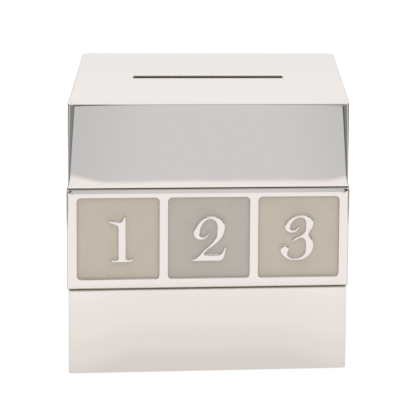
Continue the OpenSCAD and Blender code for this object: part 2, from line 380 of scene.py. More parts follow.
# %% Light the room
WALL_DARK = (58, 56, 55)
WALL_DIM = (150, 148, 146)
WALL_CORNER = (170, 167, 164)
WALL_LIGHT = (231, 226, 222)
AXIS_TURN = (0.032, 0.050)
DIM_TURN = (0.0, 0.03)
DIM_END_TURN = (0.060, 0.090)
WALL_CORNER_TURN = (0.10, 0.9)
WALL_TOP = (0.10, 0.16)
ROOM_LOW = (234, 228, 223)
ROOM_ABOVE = (
    ((0.17, 0.215), (239, 232, 227)),
    ((0.22, 0.42), (252, 248, 245)),
    ((0.50, 0.70), (208, 204, 200)),
    ((0.80, 0.92), (244, 240, 236)),
)
ROOM_LIGHT = (1, 0.99, 0.98, 1)
ROOM_STRENGTH = 0.60
BOX_MIDDLE = Vector((0, 0, 0.04))
LAMPS = {
    "overhead_softbox": ((-0.15, -0.1, 0.95), 0.7, 6.0),
    "front_fill": ((0.35, -1.3, 0.7), 0.6, 5.0),
    "underside_fill": ((0.4, 0, -0.75), 0.5, 9.0),
}


def mirrored_room(tree, direction):
    """The room as the metal shows it."""
    _, _, turned, height, front, rightwards = sides_of(tree, direction)
    starts = ramp_between(tree, rightwards, *DIM_TURN)
    ends = ramp_between(tree, rightwards, *DIM_END_TURN, 1.0, 0.0)
    wall = mix_shown(tree, math_node(tree, "MULTIPLY", starts, ends), WALL_DARK, WALL_DIM)
    wall = mix_shown(tree, ramp_between(tree, turned, *AXIS_TURN), WALL_DIM, wall)
    wall = mix_shown(tree, ramp_between(tree, turned, *WALL_CORNER_TURN), wall, WALL_CORNER)
    wall = mix_shown(tree, front, WALL_LIGHT, wall)
    light = shown_by_metal(ROOM_LOW)
    for heights, levels in ROOM_ABOVE:
        light = mix(tree, ramp_between(tree, height, *heights), light, shown_by_metal(levels))
    return mix(tree, ramp_between(tree, height, *WALL_TOP), wall, light)


def make_room():
    world = bpy.data.worlds.new("studio_room")
    bpy.context.scene.world = world
    world.use_nodes = True
    tree = world.node_tree
    tree.nodes.clear()
    path = add_node(tree, "ShaderNodeLightPath").outputs
    view = add_node(tree, "ShaderNodeTexCoord").outputs["Generated"]
    put_layers(
        tree,
        "ShaderNodeOutputWorld",
        add_node(tree, "ShaderNodeBackground", ROOM_LIGHT, ROOM_STRENGTH),
        (looked_at(tree, path), add_node(tree, "ShaderNodeBackground", WHITE, 1.0)),
        (
            path["Is Glossy Ray"],
            add_node(tree, "ShaderNodeBackground", mirrored_room(tree, view), 1.0),
        ),
    )


def add_lamp(name, place, size, power):
    """A soft square lamp that looks at the box, with its place and size in metres."""
    data = bpy.data.lights.new(name, "AREA")
    data.shape = "SQUARE"
    data.size = size
    data.energy = power
    lamp = put_in_scene(name, data)
    lamp.location = place
    lamp.rotation_mode = "QUATERNION"
    lamp.rotation_quaternion = (BOX_MIDDLE - Vector(place)).to_track_quat("-Z", "Y")
    lamp.visible_camera = False
    lamp.visible_glossy = False


make_room()
for name, (place, size, power) in LAMPS.items():
    add_lamp(name, place, size, power)
    print(name, "watts", power)

# %% [markdown]
# ## Meshes from rings
# A box with a bevel modifier would round all of its edges alike. Here every hard piece is drawn
# as rings of points that follow its surface, like the contour lines of a map: across a flat
# face, round an edge, down a wall. Faces between neighbouring rings make the surface, so each
# rounded edge has its true radius and takes a clean highlight.

# %% Helpers that turn rings into meshes
CORNER_STEPS = 10
SIDE_STEPS = 12
SHARP_ANGLE = math.radians(40)


def rounded_ring(half_x, half_y, radius, height, low_radius=None):
    """Points round a rectangle with round corners, anticlockwise, at one height."""
    corners = []
    for quarter, (sign_x, sign_y) in enumerate(((1, 1), (-1, 1), (-1, -1), (1, -1))):
        size = radius if sign_y > 0 or low_radius is None else low_radius
        middle = Vector((sign_x * (half_x - size), sign_y * (half_y - size), height))
        turns = [math.pi / 2 * (quarter + step / CORNER_STEPS) for step in range(CORNER_STEPS + 1)]
        corners.append([middle + size * Vector((math.cos(a), math.sin(a), 0)) for a in turns])
    ring = []
    for corner, following in zip(corners, corners[1:] + corners[:1]):
        shares = [step / SIDE_STEPS for step in range(1, SIDE_STEPS)]
        ring += corner + [corner[-1].lerp(following[0], share) for share in shares]
    return ring


def round_edge(radius, steps):
    """Pairs of distance from a wall and depth under a face, from the wall to the face."""
    angles = [math.pi / 2 * step / steps for step in range(steps + 1)]
    return [(radius * (1 - math.cos(angle)), radius * (1 - math.sin(angle))) for angle in angles]


def bridge(bm, first, second):
    """Faces between two rings with as many points each."""
    for here in range(len(first)):
        bm.faces.new((first[here - 1], first[here], second[here], second[here - 1]))


def fill(bm, *rings):
    """Fills the flat area inside the first ring and outside the others."""
    pairs = [(ring[here - 1], ring[here]) for ring in rings for here in range(len(ring))]
    edges = [bm.edges.get(pair) or bm.edges.new(pair) for pair in pairs]
    bmesh.ops.triangle_fill(bm, use_beauty=True, use_dissolve=False, edges=edges)


def loft(bm, rings, joined=False):
    """Faces along a list of rings, back to the first one if joined."""
    loops = [[bm.verts.new(point) for point in ring] for ring in rings]
    for first, second in zip(loops, loops[1:] + loops[:1] if joined else loops[1:]):
        bridge(bm, first, second)
    return loops


def shade_piece(piece):
    """Smooth shading between sharp edges, with flat faces that keep their normals."""
    piece.data.shade_smooth()
    piece.data.set_sharp_from_angle(angle=SHARP_ANGLE)
    weighted = piece.modifiers.new("flat faces keep their normals", "WEIGHTED_NORMAL")
    weighted.keep_sharp = True


def finish_mesh(bm, name, turn=None):
    """Makes an object of a mesh drawn in millimetres, and prints what it measures."""
    bmesh.ops.recalc_face_normals(bm, faces=bm.faces)
    open_edges = sum(1 for edge in bm.edges if not edge.is_manifold)
    volume = bm.calc_volume(signed=True)
    if volume < 0:
        bmesh.ops.reverse_faces(bm, faces=bm.faces)
    mesh = bpy.data.meshes.new(name)
    bm.to_mesh(mesh)
    bm.free()
    mesh.transform((turn or Matrix.Identity(4)) @ Matrix.Scale(MM, 4))
    piece = put_in_scene(name, mesh)
    shade_piece(piece)
    print(name, "faces", len(mesh.polygons), "open edges", open_edges, "mm3", round(abs(volume), 1))
    return piece


def joined_piece(name, rings):
    """A piece whose closed surface runs along the rings and back to the first one."""
    bm = bmesh.new()
    loft(bm, rings, joined=True)
    return finish_mesh(bm, name)


print("points in a ring:", len(rounded_ring(1, 1, 0.1, 0)))

# %% [markdown]
# ## The tiers' walls
# Cap and sleeve are the same sheet metal. The press rolls a tight edge that runs out in a slow
# curve into the wall, and the walls give way a little towards the upright corners, as pressed
# and polished sheet does. Both shells take their outside from the helpers here, each with its
# own edges: a tight radius, the angle that it leaves over, and the slow radius that takes it.

# %% Rings down a tier's outside
upper_low, upper_high = node_span("upper_shell")
lower_low, lower_high = node_span("lower_shell")
TIER_HALF = upper_high.x
CORNER_R = 1.2
TOP_CORNER_R = 2.1
SEAM_CORNER_R = 0.5
LEAST_CORNER_R = 0.2
EDGE_STEPS = 7
SLOW_STEPS = 5
WALL_RINGS = 10
WALL = 1.2
INNER_R = 0.3


def corner_radius(height):
    """The upright corners are tight at the cap's seam and open towards its top."""
    if height < upper_low.z:
        return CORNER_R
    share = (height - upper_low.z) / (upper_high.z - upper_low.z)
    return SEAM_CORNER_R + (TOP_CORNER_R - SEAM_CORNER_R) * min(share, 1)


def tier_ring(half, height):
    """A square ring of a tier, concentric with its corners."""
    radius = max(corner_radius(height) - TIER_HALF + half, LEAST_CORNER_R)
    return rounded_ring(half, half, radius, height)


def tier_edge(height, edge, side):
    """Rings round a tier's upper edge (side 1) or lower edge (side -1), and where its wall ends."""
    tight_r, angle, slow_r = edge
    centre = TIER_HALF - slow_r * (1 - math.cos(angle)) - tight_r * math.cos(angle)
    pairs = []
    for step in range(EDGE_STEPS + 1):
        turn = math.pi / 2 + (angle - math.pi / 2) * step / EDGE_STEPS
        pairs.append((centre + tight_r * math.cos(turn), tight_r * (1 - math.sin(turn))))
    start = pairs[-1][1]
    for step in range(1, SLOW_STEPS + 1 if slow_r else 1):
        turn = angle * (1 - step / SLOW_STEPS)
        drop = start + slow_r * (math.sin(angle) - math.sin(turn))
        pairs.append((TIER_HALF - slow_r * (1 - math.cos(turn)), drop))
    rings = [tier_ring(reach, height - side * drop) for reach, drop in pairs]
    return rings[::side], height - side * pairs[-1][1]


def outer_wall(top, low, top_edge, low_edge):
    """Rings down the outside of a tier, from its top face to its foot."""
    top_rings, start = tier_edge(top, top_edge, 1)
    low_rings, end = tier_edge(low, low_edge, -1)
    heights = [start + (end - start) * step / WALL_RINGS for step in range(1, WALL_RINGS)]
    return top_rings + [tier_ring(TIER_HALF, height) for height in heights] + low_rings


def inner_ring(height):
    return rounded_ring(TIER_HALF - WALL, TIER_HALF - WALL, INNER_R, height)


print("tiers, mm:", [round(corner.z, 2) for corner in (lower_low, lower_high, upper_low, upper_high)])

# %% [markdown]
# ## Upper shell
# The cap is a flat top with a coin slot punched through it, a shouldered edge, four straight
# walls and a tight rim at the seam. A boolean could cut the slot, but one closed surface can
# also follow what the punch did: it runs from the slot across the top, down outside, under the
# rim and back up inside. The punch drew the sheet down a little round the slot, and it struck a
# little to the left of the middle. The rings of the slot's wall are marked as cut, for the finish.

# %% Build the upper shell
TOP_THICKNESS = 1.4
TOP_EDGE = (0.5, math.radians(6), 5.5)
SEAM_EDGE = (0.05, math.radians(11), 2.8)
SLOT_MIDDLE = Vector((-0.35, -0.2, 0))
SLOT_HALF_X = 22.5
SLOT_HALF_Y = 2.3
SLOT_CORNER_R = 0.35
SLOT_LIP_R = 0.15
SLOT_LIP_STEPS = 5
DISH_W = 1.8
DISH_DEPTH = 0.07
DISH_STEPS = 6
CUT_SHARES = (1, 1, 0.5)


def slot_ring(reach, height):
    """A ring round the slot, grown by some reach."""
    ring = rounded_ring(SLOT_HALF_X + reach, SLOT_HALF_Y + reach, SLOT_CORNER_R + reach, height)
    return [point + SLOT_MIDDLE for point in ring]


def make_upper_shell():
    top = upper_high.z
    lip = [(reach, DISH_DEPTH + drop) for reach, drop in round_edge(SLOT_LIP_R, SLOT_LIP_STEPS)]
    for step in range(1, DISH_STEPS + 1):
        share = step / DISH_STEPS
        lip.append((SLOT_LIP_R + DISH_W * share, DISH_DEPTH * (1 - share) ** 2))
    rings = [slot_ring(0, top - TOP_THICKNESS)]
    rings += [slot_ring(reach, top - drop) for reach, drop in lip]
    rings += outer_wall(top, upper_low.z, TOP_EDGE, SEAM_EDGE)
    rings += [inner_ring(upper_low.z), inner_ring(top - TOP_THICKNESS)]
    bm = bmesh.new()
    cut = bm.verts.layers.float.new("cut_edge")
    loops = loft(bm, rings, joined=True)
    for loop, share in zip(loops, CUT_SHARES):
        for vert in loop:
            vert[cut] = share
    return finish_mesh(bm, "upper_cap")


upper_cap = make_upper_shell()
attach(upper_cap, "box")
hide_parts("upper_shell")

# %% [markdown]
# ## Lower shell
# The sleeve under the band is the same sheet metal without a top, so its closed surface runs
# down outside, under the foot, up inside and over the rim at the seam. Its edges are plain
# quarter rounds, without a slow curve.

# %% Build the lower shell
SLEEVE_RIM = (0.6, 0, 0)
SLEEVE_FOOT = (0.2, 0, 0)

sleeve_rings = outer_wall(lower_high.z, lower_low.z, SLEEVE_RIM, SLEEVE_FOOT)
sleeve_rings = [inner_ring(lower_high.z)] + sleeve_rings + [inner_ring(lower_low.z)]
lower_sleeve = joined_piece("lower_sleeve", sleeve_rings)
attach(lower_sleeve, "box")
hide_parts("lower_shell")

# %% [markdown]
# ## Digit outlines
# The digits are plain old-style numerals. A font's strokes would be its own, so these are drawn
# from a few points on each curve. A smooth curve runs through the points of a stretch, and each
# stretch ends in a corner where the next one starts, as a pen stroke does.

# %% Draw the digits
ONE = [
    [(-2.75, 12.2), (-1.6, 12.0), (-0.3, 11.95), (0.65, 12.15), (1.25, 12.7)],
    [(1.6, 13.4)],
    [(2.05, 13.5)],
    [(2.1, 1.8), (2.4, 1.0), (3.1, 0.7)],
    [(3.9, 1.15), (4.15, 0.7), (3.7, 0.2)],
    [(2.8, 0.05)],
    [(-0.9, 0.05), (-1.6, 0.1), (-1.9, 0.5)],
    [(-1.7, 0.9), (-1.1, 0.6), (-0.3, 0.85)],
    [(0.05, 1.8)],
    [(0.05, 9.9), (-0.2, 10.7), (-1.1, 11.15)],
    [(-2.75, 11.95)],
]
TWO = [
    [(0.15, 8.35), (-0.5, 7.3), (-1.4, 6.6), (-2.6, 6.4), (-3.8, 6.85), (-4.4, 8.1), (-4.1, 9.8),
     (-3.1, 11.5), (-1.6, 12.8), (0.4, 13.4), (2.5, 13.15), (4.0, 12.1), (4.5, 10.3), (4.2, 8.3),
     (3.2, 6.4), (1.4, 4.7), (-0.3, 3.5)],
    [(-1.35, 2.4), (-1.0, 2.1), (0.6, 1.95), (2.4, 2.0)],
    [(3.6, 2.3), (4.1, 3.05)],
    [(4.6, 4.15)],
    [(4.9, 4.05), (4.6, 2.4), (4.2, 1.0), (3.7, 0.3)],
    [(3.0, 0.05)],
    [(-4.6, 0.05)],
    [(-4.75, 0.55), (-3.9, 0.85), (-2.7, 1.95), (-1.3, 3.45), (0.4, 5.0), (1.7, 6.8), (2.4, 9.2),
     (2.1, 11.4), (0.8, 12.5), (-0.9, 12.1), (-2.1, 10.7), (-2.65, 8.9), (-2.4, 7.5), (-1.4, 7.15),
     (-0.5, 7.8)],
    [(-0.15, 8.5)],
]
THREE = [
    [(0.3, 10.0), (-0.4, 8.95), (-1.3, 8.3), (-2.6, 8.25), (-3.7, 8.95), (-4.0, 10.2), (-3.3, 11.75),
     (-1.7, 12.9), (0.6, 13.45), (2.6, 13.3), (3.85, 12.5), (4.25, 11.1), (3.95, 9.7), (3.3, 8.75),
     (3.05, 7.95), (3.5, 7.05), (4.05, 5.9), (4.28, 4.3), (3.95, 2.8), (3.15, 1.5), (1.6, 0.42),
     (-0.5, 0.0), (-2.9, 0.3), (-4.6, 1.5), (-5.25, 3.0), (-4.6, 4.25), (-3.4, 4.35), (-2.75, 3.4),
     (-3.2, 2.3), (-2.8, 1.15), (-1.4, 0.5), (0.5, 0.85), (1.8, 2.3), (2.15, 4.4), (1.75, 6.1),
     (0.6, 6.7), (-0.6, 6.15)],
    [(-1.5, 5.55)],
    [(-1.75, 5.85), (-0.7, 6.8), (0.8, 7.6), (1.8, 9.0), (2.1, 11.0), (1.5, 12.4), (0.2, 12.7),
     (-1.4, 11.95), (-2.35, 10.6), (-2.3, 9.4), (-1.4, 8.95), (-0.5, 9.5)],
    [(0.05, 10.2)],
]
DIGITS = {1: ONE, 2: TWO, 3: THREE}
CURVE_STEPS = 6


def curve_point(a, b, c, d, t):
    """A point between b and c on the smooth curve through a, b, c and d."""
    bend = (2 * a - 5 * b + 4 * c - d) * t**2
    return 0.5 * (2 * b + (c - a) * t + bend + (3 * b - a - 3 * c + d) * t**3)


def stretch_points(stretch, end):
    """Points from a stretch's start up to its end, where the next stretch starts."""
    p = [Vector(point) for point in stretch + [end]]
    shares = [step / CURVE_STEPS for step in range(CURVE_STEPS)]
    if len(p) == 2:
        return [p[0].lerp(p[1], share) for share in shares]
    p = [2 * p[0] - p[1]] + p + [2 * p[-1] - p[-2]]
    return [curve_point(*p[k : k + 4], share) for k in range(len(p) - 3) for share in shares]


def digit_outline(digit):
    """The outline of a digit, anticlockwise, from the middle of its foot line."""
    stretches = DIGITS[digit]
    outline = []
    for stretch, following in zip(stretches, stretches[1:] + stretches[:1]):
        outline += stretch_points(stretch, following[0])
    area = sum(a.x * b.y - b.x * a.y for a, b in zip(outline, outline[1:] + outline[:1]))
    return outline if area > 0 else outline[::-1]


print("points in the outlines:", [len(digit_outline(digit)) for digit in DIGITS])

# %% [markdown]
# ## Polished digit edges
# A digit's top edge is rounded by polishing, more on the broad strokes than on the hairlines.
# A bevel of one width would fold over itself on those. So each point of the outline is moved
# inwards by no more than the room that it has there, which a line across the stroke measures.

# %% Helpers that move an outline in or out
SHARPEST_MITRE = 0.62
WIDEST_STROKE = 9.0
NEIGHBOURS = range(-4, 5)


def corner_normals(outline):
    """For each point, the direction out of the outline and how far a mitred corner reaches."""
    normals = []
    for here, point in enumerate(outline):
        before = (point - outline[here - 1]).normalized()
        after = (outline[(here + 1) % len(outline)] - point).normalized()
        along = (before + after).normalized()
        reach = 1 / max(before.dot(along), SHARPEST_MITRE)
        normals.append((Vector((along.y, -along.x)), reach))
    return normals


def crossing(start, direction, a, b):
    """How far along a direction a line from start crosses the segment from a to b, or None."""
    side = b - a
    slope = direction.x * side.y - direction.y * side.x
    if abs(slope) < 1e-9:
        return None
    offset = a - start
    distance = (offset.x * side.y - offset.y * side.x) / slope
    share = (offset.x * direction.y - offset.y * direction.x) / slope
    return distance if distance > 1e-3 and 0 <= share <= 1 else None


def room_inside(outline, normals):
    """Half the stroke's width at each point, smoothed along the outline."""
    count = len(outline)
    room = []
    for here, (outwards, _) in enumerate(normals):
        hits = [
            crossing(outline[here], -outwards, outline[k], outline[(k + 1) % count])
            for k in range(count)
            if k != here and (k + 1) % count != here
        ]
        room.append(min([hit for hit in hits if hit is not None], default=WIDEST_STROKE) / 2)
    near = [min(room[(here + k) % count] for k in NEIGHBOURS) for here in range(count)]
    sums = [sum(near[(here + k) % count] for k in NEIGHBOURS) for here in range(count)]
    return [total / len(NEIGHBOURS) for total in sums]


def moved_outline(outline, normals, distances):
    """The outline with each point moved outwards, or inwards where the distance is negative."""
    rows = zip(outline, normals, distances)
    return [point + outwards * reach * distance for point, (outwards, reach), distance in rows]


print("outline helpers ready")

# %% [markdown]
# ## Number plate outside
# Each side of the band is one plate: a raised tile with its face rolled back softly at all four
# edges and its ends mitred to meet the next plates. The plate is one closed surface of rings and
# of flat fills between them, so that no edge has to be guessed by a boolean.

# %% Rings of the plate's outside
plate_low, plate_high = node_span("front_number_plate")
PLATE_FACE = -plate_low.y
PLATE_BACK = -plate_high.y
PLATE_HALF_H = (plate_high.z - plate_low.z) / 2
PLATE_MIDDLE = Vector((0, (plate_high.z + plate_low.z) / 2, 0))
PLATE_EDGE = 0.3
MITRE_GAP = 0.06
MITRE_STEP = 0.05
ROLL_W = 1.35
ROLL_ANGLE = math.radians(2.6)
ROLL_TURN_W = 0.3
ROLL_STEPS = 6
EDGE_BREAK_R = 0.16
EDGE_BREAK_STEPS = 5
PLATE_CORNER_R = 0.8
FACE_CORNER_R = 1.3
FOOT_CORNER_R = 0.35


def on_face(ring, depth):
    """Stands a flat ring up on the front face, at a distance from the box's middle."""
    return [Vector((point[0], -depth, point[1])) for point in ring]


def plate_ring(half_x, half_z, radius, depth):
    ring = rounded_ring(half_x, half_z, radius, 0, FOOT_CORNER_R)
    return on_face([point + PLATE_MIDDLE for point in ring], depth)


def roll_profile():
    """Pairs of distance in from the plate's edge and depth under its face, from the face out."""
    turn_r = ROLL_TURN_W / math.sin(ROLL_ANGLE)
    pairs = []
    for step in range(ROLL_STEPS + 1):
        angle = ROLL_ANGLE * step / ROLL_STEPS
        pairs.append((ROLL_W - turn_r * math.sin(angle), turn_r * (1 - math.cos(angle))))
    start_in, start_drop = pairs[-1]
    last_in = EDGE_BREAK_R * (1 - math.sin(ROLL_ANGLE))
    slant = math.tan(ROLL_ANGLE)
    for share in (0.5, 1):
        inset = start_in + (last_in - start_in) * share
        pairs.append((inset, start_drop + (start_in - inset) * slant))
    last_drop = pairs[-1][1]
    for step in range(1, EDGE_BREAK_STEPS + 1):
        angle = ROLL_ANGLE + (math.pi / 2 - ROLL_ANGLE) * step / EDGE_BREAK_STEPS
        drop = last_drop + EDGE_BREAK_R * (math.cos(ROLL_ANGLE) - math.cos(angle))
        pairs.append((EDGE_BREAK_R * (1 - math.sin(angle)), drop))
    return pairs


def add_plate_outside(bm):
    """The plate's rolled edges, mitred ends and back, and the ring that bounds its flat face."""
    end_x = PLATE_FACE - PLATE_EDGE - MITRE_GAP
    rings = []
    for inset, drop in roll_profile():
        radius = PLATE_CORNER_R + (FACE_CORNER_R - PLATE_CORNER_R) * inset / ROLL_W
        rings.append(plate_ring(end_x - inset, PLATE_HALF_H - inset, radius, PLATE_FACE - drop))
    for depth in (PLATE_FACE - PLATE_EDGE - MITRE_STEP, PLATE_BACK):
        rings.append(plate_ring(depth - MITRE_GAP, PLATE_HALF_H, PLATE_CORNER_R, depth))
    loops = loft(bm, rings)
    fill(bm, loops[-1])
    return loops[0]


print("plate height, mm:", round(2 * PLATE_HALF_H, 2), "face from the middle:", round(PLATE_FACE, 2))

# %% [markdown]
# ## Windows and digits
# Three square windows are sunk in the plate for the enamel, and the digits rise from their
# floors to just under the face. The lips of the windows and the edges of the digits have the
# same form: a tight edge, a short bevel and a crown that runs out into the flat. They are
# mirrors as well, and a bevel modifier couldn't give the slope that settles what they show.

# %% Rings of the windows and the digits
enamel_spans = {digit: node_span(f"front_enamel_{digit}") for digit in DIGITS}
ENAMEL_FIT = 0.02
ENAMEL_FACE = -enamel_spans[1][0].y
WINDOW_FLOOR = -enamel_spans[1][1].y
WINDOW_R = 1.2
WINDOW_LIP = (0.06, 0.18, 0.04, math.radians(8.0))
DIGIT_EDGE = (0.12, 0.2, 0.2, math.radians(8.5))
DIGIT_TOP = PLATE_FACE - 0.05
DIGIT_FOOT = 4.9
EDGE_ROOM = 0.8
CROWN_STEPS = 5


def window_outline(digit, grow):
    """A window's outline in the plane of the face, grown by some distance."""
    low, high = enamel_spans[digit]
    half_x = (high.x - low.x) / 2 + ENAMEL_FIT
    half_z = (high.z - low.z) / 2 + ENAMEL_FIT
    middle = Vector(((high.x + low.x) / 2, (high.z + low.z) / 2, 0))
    ring = rounded_ring(half_x + grow, half_z + grow, WINDOW_R + grow, 0)
    return [(point + middle).xy for point in ring]


def digit_shape(digit):
    """The digit's outline on the face, its normals and the room inside it."""
    low, high = enamel_spans[digit]
    foot = Vector(((high.x + low.x) / 2, low.z - ENAMEL_FIT + DIGIT_FOOT))
    outline = [point + foot for point in digit_outline(digit)]
    normals = corner_normals(outline)
    return outline, normals, room_inside(outline, normals)


def crowned_edge(tight_r, bevel_w, crown_w, slope):
    """Pairs of distance from a wall and depth under the face, from the wall to the flat face."""
    start = tight_r * (1 - math.sin(slope)) + bevel_w
    crown_drop = crown_w * math.tan(slope) / 2
    bevel_drop = crown_drop + bevel_w * math.tan(slope)
    pairs = []
    for step in range(CROWN_STEPS + 1):
        angle = math.pi / 2 + (slope - math.pi / 2) * step / CROWN_STEPS
        drop = bevel_drop + tight_r * (math.cos(slope) - math.cos(angle))
        pairs.append((tight_r * (1 - math.sin(angle)), drop))
    for step in range(CROWN_STEPS + 1):
        share = step / CROWN_STEPS
        pairs.append((start + crown_w * share, crown_drop * (1 - share) ** 2))
    return pairs


def add_window(bm, digit):
    """A window's lip, walls and floor with its digit, and the ring where it meets the face."""
    lip = crowned_edge(*WINDOW_LIP)[::-1]
    rings = [on_face(window_outline(digit, grow), PLATE_FACE - drop) for grow, drop in lip]
    window = loft(bm, rings + [on_face(window_outline(digit, 0), WINDOW_FLOOR)])
    outline, normals, room = digit_shapes[digit]
    edge = crowned_edge(*DIGIT_EDGE)
    shares = [min(1, EDGE_ROOM * width / edge[-1][0]) for width in room]
    rings = [on_face(outline, WINDOW_FLOOR)]
    for inset, drop in edge:
        shape = moved_outline(outline, normals, [-inset * share for share in shares])
        rings.append([Vector((p.x, drop * share - DIGIT_TOP, p.y)) for p, share in zip(shape, shares)])
    numeral = loft(bm, rings)
    fill(bm, numeral[-1])
    fill(bm, window[-1], numeral[0])
    return window[0]


digit_shapes = {digit: digit_shape(digit) for digit in DIGITS}
print("widest stroke, mm:", [round(2 * max(shape[2]), 2) for shape in digit_shapes.values()])

# %% [markdown]
# ## The four plates
# The same plate is drawn for each side and turned with it. Its flat face fills the area between
# the outer ring and the rings of the three windows.

# %% Build the number plates
SIDES = ("front", "right", "back", "left")


def side_turn(side):
    """Turns a piece of the front to another side of the box."""
    return Matrix.Rotation(math.pi / 2 * SIDES.index(side), 4, "Z")


def make_plate(side):
    bm = bmesh.new()
    fill(bm, add_plate_outside(bm), *[add_window(bm, digit) for digit in DIGITS])
    return finish_mesh(bm, f"number_plate_{side}", side_turn(side))


number_plates = []
for side in SIDES:
    plate = make_plate(side)
    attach(plate, "box")
    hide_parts(f"{side}_number_plate")
    number_plates.append(plate)

# %% [markdown]
# ## Enamel
# Soft enamel is a thick paint that is run into the windows and baked. It clings to the metal, so
# its face climbs a little at the window's walls and round the digit, and lies level between. A
# flat fill would miss that soft rim, so a net of small triangles carries it. Each of its points
# also keeps a painted shade, darker the nearer the metal is, for the finish.

# %% Lay out the enamel's net
from mathutils import geometry, kdtree

CLING_HEIGHT = 0.07
CLING_WIDTH = 0.45
RING_DISTANCES = (0.06, 0.14, 0.25, 0.4)
RING_CLEARANCE = 0.8
GRID_STEP = 0.5
SHADE_LENGTH = 0.35
DIGIT_SHADE = 0.55
ENAMEL_GAP = 0.004
SEARCH_SPACING = 0.08


def distance_finder(outlines):
    """A function that tells how far a point is from some closed outlines."""
    points = []
    for outline in outlines:
        for a, b in zip(outline, outline[1:] + outline[:1]):
            count = max(1, math.ceil((b - a).length / SEARCH_SPACING))
            points += [a.lerp(b, step / count) for step in range(count)]
    search = kdtree.KDTree(len(points))
    for place, point in enumerate(points):
        search.insert((*point, 0), place)
    search.balance()
    return lambda point: search.find((*point, 0))[2]


def enamel_layout(digit):
    """The fill's face as a net of points and triangles, its rims, and each point's distance
    from the metal and its painted shade."""
    outline, normals, _ = digit_shapes[digit]
    count = len(outline)
    outer = window_outline(digit, -ENAMEL_GAP)
    inner = moved_outline(outline, normals, [ENAMEL_GAP] * count)
    to_metal = distance_finder([outer, inner])
    to_frame = distance_finder([outer])
    loose = []
    for away in RING_DISTANCES:
        ring = window_outline(digit, -away) + moved_outline(outline, normals, [away] * count)
        loose += [point for point in ring if to_metal(point) > RING_CLEARANCE * away]
    low, high = (Vector(end(point[axis] for point in outer) for axis in (0, 1)) for end in (min, max))
    columns, rows = (int(size / GRID_STEP) for size in high - low)
    for row in range(1, rows + 1):
        shift = 0.5 * (row % 2)
        spots = [low + Vector(((k + shift) * GRID_STEP, row * GRID_STEP)) for k in range(columns + 1)]
        loose += [spot for spot in spots if to_metal(spot) > CLING_WIDTH]
    faces = [list(range(len(outer))), list(range(len(outer), len(outer) + count))]
    net = geometry.delaunay_2d_cdt(outer + inner + loose, [], faces, 0, 1e-7)
    points, triangles, sources, owners = net[0], net[2], net[3], net[5]
    kept = [face for face, owner in zip(triangles, owners) if 0 in owner and 1 not in owner]
    found = {source: place for place, given in enumerate(sources) for source in given}
    rims = [[found[source] for source in face] for face in faces]
    distances = [to_metal(point) for point in points]
    # Painted shade: strongest at the window's walls, weaker round the digit.
    shades = [
        max(math.exp(-to_frame(point) / SHADE_LENGTH), DIGIT_SHADE * math.exp(-near / SHADE_LENGTH))
        for point, near in zip(points, distances)
    ]
    return points, kept, rims, distances, shades


enamel_layouts = {digit: enamel_layout(digit) for digit in DIGITS}
print("triangles in the nets:", [len(layout[1]) for layout in enamel_layouts.values()])

# %% [markdown]
# ## The twelve fills
# A fill is its net, lifted where it clings, with walls down to the window's floor and a flat
# back. Each side of the box takes the same three.

# %% Build the enamel fills


def make_enamel(side, digit):
    points, triangles, rims, distances, shades = enamel_layouts[digit]
    bm = bmesh.new()
    # Each point keeps its painted shade for the finish.
    painted_shade = bm.verts.layers.float.new("painted_shade")
    verts = {}
    for place in sorted({place for face in triangles for place in face}):
        lift = CLING_HEIGHT * (1 - min(distances[place] / CLING_WIDTH, 1)) ** 2
        vert = bm.verts.new((points[place].x, -ENAMEL_FACE - lift, points[place].y))
        vert[painted_shade] = shades[place]
        verts[place] = vert
    for face in triangles:
        bm.faces.new([verts[place] for place in face])
    feet = []
    for rim in rims:
        top = [verts[place] for place in rim]
        feet.append([bm.verts.new((vert.co.x, -WINDOW_FLOOR, vert.co.z)) for vert in top])
        bridge(bm, top, feet[-1])
    fill(bm, *feet)
    return finish_mesh(bm, f"enamel_{side}_{digit}", side_turn(side))


enamel_fills = []
for side in SIDES:
    for digit in DIGITS:
        enamel_piece = make_enamel(side, digit)
        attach(enamel_piece, "box")
        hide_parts(f"{side}_enamel_{digit}")
        enamel_fills.append(enamel_piece)

# %% [markdown]
# ## Base felt
# The pad is cut from pressed wool felt and glued under the base plate. Its knife-cut edges are
# a little soft, and its face isn't quite level. A simulation would be too much for that: the
# rings are rounded at the edges, and each point is moved by a fraction of a millimetre of smooth
# noise, always into the pad.

# %% Build the felt pad
from mathutils import noise

felt_high = node_span("base_felt")[1]
stopper_low, stopper_high = node_span("stopper")
FLANGE_R = stopper_high.x
FELT_HOLE_R = FLANGE_R + 0.6
FELT_CORNER_R = 1.5
FELT_EDGE_R = 0.45
FELT_EDGE_STEPS = 4
FELT_RINGS = 26
FELT_LUMP = 0.05
FELT_WAVES = 0.9


def felt_ring(share, inset, height):
    """A ring between the pad's square outline and its round hole."""
    ring = []
    for point in rounded_ring(felt_high.x - inset, felt_high.y - inset, FELT_CORNER_R, height):
        angle = math.atan2(point.y, point.x)
        radius = FELT_HOLE_R + inset
        hole = Vector((radius * math.cos(angle), radius * math.sin(angle), height))
        ring.append(point.lerp(hole, share))
    return ring


def make_felt():
    edge = round_edge(FELT_EDGE_R, FELT_EDGE_STEPS)
    half = [(0, inset, drop) for inset, drop in edge]
    half += [(step / FELT_RINGS, FELT_EDGE_R, 0) for step in range(1, FELT_RINGS)]
    half += [(1, inset, drop) for inset, drop in edge[::-1]]
    rings = [felt_ring(share, inset, felt_high.z - drop) for share, inset, drop in half]
    rings += [felt_ring(share, inset, drop) for share, inset, drop in half[::-1]]
    for ring in rings:
        for point in ring:
            lump = abs(noise.noise(point * FELT_WAVES)) * FELT_LUMP
            point.z += lump if point.z < felt_high.z / 2 else -lump
    return joined_piece("felt_pad", rings)


felt_pad = make_felt()
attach(felt_pad, "box")
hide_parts("base_felt")

